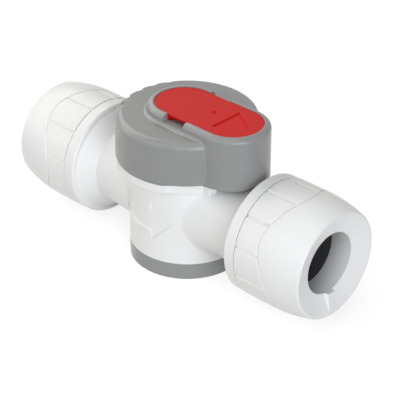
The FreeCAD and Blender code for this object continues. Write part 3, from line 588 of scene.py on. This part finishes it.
def outside_rows(turn):
    """Points of the outside at one turn, from the seam to the nose, as position and radius."""
    line = wavy_line(turn)
    first = CAP_START + CAP_EDGE
    before = line + LINE_STEPS[0]
    beyond = line + LINE_STEPS[-1]
    places = [first + (before - first) * index / PANEL_ROWS for index in range(PANEL_ROWS)]
    places += [line + step for step in LINE_STEPS]
    places += [beyond + (CAP_DOME - beyond) * index / DOME_ROWS for index in range(1, DOME_ROWS + 1)]
    rows = []
    for place in places:
        depth = line_depth(place - line)
        if place < line:
            depth = max(depth, side_depth(turn))
        rows.append((place, outside(place) - depth))
    return rows


def seam_rows(turn):
    """Points of the seam's face and its rounded edge, from the thread out."""
    rows = [(CAP_START, CAP_INSIDE + SEAM_BEVEL)]
    rows += [(CAP_START, CAP_RADIUS - drop) for drop in SEAM_LOOPS]
    for index in range(EDGE_ROWS):
        angle = math.pi / 2.0 * index / EDGE_ROWS
        along = CAP_START + CAP_EDGE * (1.0 - math.cos(angle))
        radius = CAP_RADIUS - CAP_EDGE * (1.0 - math.sin(angle))
        rows.append((along, radius - side_depth(turn)))
    return rows


def face_rows(turn):
    """Points of the rim, the dish with its lug, the bore and the inside."""
    rows = arc_points((CAP_DOME, DOME_RADIUS), (CAP_RIM, RIM_RADIUS), RIM_ARC, RIM_ROWS)
    mouth = [(CAP_MOUTH + beyond, BORE_RADIUS + out) for beyond, out in MOUTH_EDGE]
    top = CAP_RIM - RIM_DROP
    fall = top - mouth[0][0]
    run = RIM_INNER - mouth[0][1]
    shares = [index / DISH_ROWS for index in range(DISH_ROWS + 1)]
    dish = [(top - fall * share, RIM_INNER - run * share) for share in shares]
    rows += [(along + lug_rise(turn, radius), radius) for along, radius in dish + mouth[1:]]
    rows += [(CAP_MOUTH - depth, BORE_RADIUS) for depth in BORE_LOOPS]
    rows += [(CAP_ROOF + ROOF_BEVEL, BORE_RADIUS), (CAP_ROOF, BORE_RADIUS + ROOF_BEVEL)]
    rows += [(CAP_ROOF, CAP_INSIDE - INSIDE_BEVEL), (CAP_ROOF - INSIDE_BEVEL, CAP_INSIDE)]
    rows.append((CAP_START + SEAM_BEVEL, CAP_INSIDE))
    return rows


def cap_skin(name, body, node, turn_about):
    """Closed skin of one cap, riding on its body in place of the plain solid."""
    columns = []
    for turn in cap_turns():
        rows = seam_rows(turn) + outside_rows(turn) + face_rows(turn)
        columns.append([placed(turn_about @ about_pipe(along, radius, turn)) for along, radius in rows])
    skin = white_tube(name, columns)
    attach(skin, body)
    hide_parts(node)


# The left cap faces the other way and stands at a turn of its own.
HALF_PHASE = math.radians(16.0)
face_about = Matrix.Rotation(math.pi, 3, Vector((0.0, -math.sin(HALF_PHASE), math.cos(HALF_PHASE))))
cap_skin("cap_skin_right", "cap_right", "end_cap_right", no_turn)
cap_skin("cap_skin_left", "cap_left", "end_cap_left", face_about)

# Floor and surroundings: they show as white, and light the object as a pale floor in a dim room.
FLOOR_REACH = 6.0
FLOOR_BOUNCE = (0.56, 0.56, 0.54, 1.0)
FLOOR_SHOWN = (0.38, 0.38, 0.38, 1.0)
FLOOR_GLOW = 0.77
ROOM_TINT = (1.0, 1.02, 0.96, 1.0)
ROOM_LEVEL = 0.10
WHITE = (1.0, 1.0, 1.0, 1.0)


def surroundings(tree):
    """1 for rays that show what is round the object: seen straight, mirrored or through a surface."""
    path = tree.nodes.new("ShaderNodeLightPath")
    mirrored = tree.nodes.new("ShaderNodeMath")
    mirrored.operation = "MAXIMUM"
    tree.links.new(path.outputs["Is Glossy Ray"], mirrored.inputs[0])
    tree.links.new(path.outputs["Is Transmission Ray"], mirrored.inputs[1])
    seen = tree.nodes.new("ShaderNodeMath")
    seen.operation = "MAXIMUM"
    tree.links.new(path.outputs["Is Camera Ray"], seen.inputs[0])
    tree.links.new(mirrored.outputs[0], seen.inputs[1])
    return seen.outputs[0]


def by_ray(tree, seen, bounced, shown):
    """Colour for rays that bounce off the object, and for those that show the surroundings."""
    mix = tree.nodes.new("ShaderNodeMixRGB")
    mix.inputs["Color1"].default_value = bounced
    mix.inputs["Color2"].default_value = shown
    tree.links.new(seen, mix.inputs["Fac"])
    return mix.outputs["Color"]


def floor_finish():
    """Pale floor that keeps the object's shadow and glows where it is seen."""
    material, tree, shader = new_material("floor")
    tree.nodes.remove(shader)
    seen = surroundings(tree)
    diffuse = tree.nodes.new("ShaderNodeBsdfDiffuse")
    tree.links.new(by_ray(tree, seen, FLOOR_BOUNCE, FLOOR_SHOWN), diffuse.inputs["Color"])
    glow = tree.nodes.new("ShaderNodeEmission")
    glow.inputs["Color"].default_value = WHITE
    tree.links.new(spread(tree, seen, 0.0, FLOOR_GLOW), glow.inputs["Strength"])
    both = tree.nodes.new("ShaderNodeAddShader")
    tree.links.new(diffuse.outputs[0], both.inputs[0])
    tree.links.new(glow.outputs[0], both.inputs[1])
    tree.links.new(both.outputs[0], tree.nodes["Material Output"].inputs["Surface"])
    return material


floor_mesh = bpy.data.meshes.new("floor")
floor_mesh.from_pydata(
    [
        (-FLOOR_REACH, -FLOOR_REACH, 0.0),
        (FLOOR_REACH, -FLOOR_REACH, 0.0),
        (FLOOR_REACH, FLOOR_REACH, 0.0),
        (-FLOOR_REACH, FLOOR_REACH, 0.0),
    ],
    [],
    [(0, 1, 2, 3)],
)
floor_mesh.materials.append(floor_finish())
floor = bpy.data.objects.new("floor", floor_mesh)
scene.collection.objects.link(floor)

world = bpy.data.worlds.new("studio")
scene.world = world
world.use_nodes = True
room = world.node_tree
background = room.nodes["Background"]
room_seen = surroundings(room)
room.links.new(by_ray(room, room_seen, ROOM_TINT, WHITE), background.inputs["Color"])
room.links.new(spread(room, room_seen, ROOM_LEVEL, 1.0), background.inputs["Strength"])

# Camera fitted to the circles of the photograph, as angles and distance from the axes' crossing.
AZIMUTH = math.radians(43.83)
ELEVATION = math.radians(31.1)
DISTANCE = 0.3782
ACROSS = 0.00306
UPWARD = -0.00177
FOCAL_PIXELS = 1547.49
PHOTO_PIXELS = 400.0
SENSOR_WIDTH = 36.0


def direction(azimuth, elevation):
    """Way from the object to a place; azimuth 0 is the -Y side, and a quarter turn on is +X."""
    return Vector((
        math.sin(azimuth) * math.cos(elevation),
        -math.cos(azimuth) * math.cos(elevation),
        math.sin(elevation),
    ))


back = direction(AZIMUTH, ELEVATION)
right = Vector((math.cos(AZIMUTH), math.sin(AZIMUTH), 0.0))
above = back.cross(right)
eye = CROSSING + back * DISTANCE + right * ACROSS + above * UPWARD
camera_data = bpy.data.cameras.new("camera")
camera_data.sensor_width = SENSOR_WIDTH
camera_data.lens = FOCAL_PIXELS / PHOTO_PIXELS * SENSOR_WIDTH
camera_data.clip_start = 0.01
camera_data.clip_end = 50.0
camera = bpy.data.objects.new("camera", camera_data)
camera.matrix_world = Matrix((
    (right.x, above.x, back.x, eye.x),
    (right.y, above.y, back.y, eye.y),
    (right.z, above.z, back.z, eye.z),
    (0.0, 0.0, 0.0, 1.0),
))
scene.collection.objects.link(camera)
scene.camera = camera

# Soft lamps round the object: angles in degrees, sizes in metres, power in watts and colour.
LAMP_DISTANCE = 0.9
LAMP_TARGET = Vector((0.0, 0.0, 0.02))


def softbox(name, azimuth, elevation, width, height, power, colour=(1.0, 1.0, 1.0)):
    """Flat lamp aimed at the middle of the object."""
    way = direction(math.radians(azimuth), math.radians(elevation))
    lamp_data = bpy.data.lights.new(name, "AREA")
    lamp_data.shape = "RECTANGLE"
    lamp_data.size = width
    lamp_data.size_y = height
    lamp_data.energy = power
    lamp_data.color = colour
    lamp = bpy.data.objects.new(name, lamp_data)
    lamp.location = LAMP_TARGET + way * LAMP_DISTANCE
    lamp.rotation_euler = way.to_track_quat("Z", "Y").to_euler()
    scene.collection.objects.link(lamp)


softbox("front", 48.0, 38.0, 0.7, 0.3, 1.45, (0.95, 0.98, 1.06))
softbox("low", 48.0, 4.0, 1.0, 0.3, 1.25, (1.02, 1.02, 0.96))
softbox("right", 65.0, 12.0, 0.6, 0.4, 3.05, (0.96, 0.98, 1.06))
softbox("left", -97.0, 39.0, 0.9, 0.6, 3.35, (1.03, 1.01, 0.96))
softbox("side", -60.0, 15.0, 0.6, 0.4, 1.15, (1.03, 1.01, 0.95))
softbox("middle", -10.0, 35.0, 0.6, 0.5, 1.39)
softbox("over", 0.0, 84.0, 0.5, 0.5, 1.22, (1.01, 1.0, 0.97))

scene.view_settings.view_transform = "Standard"
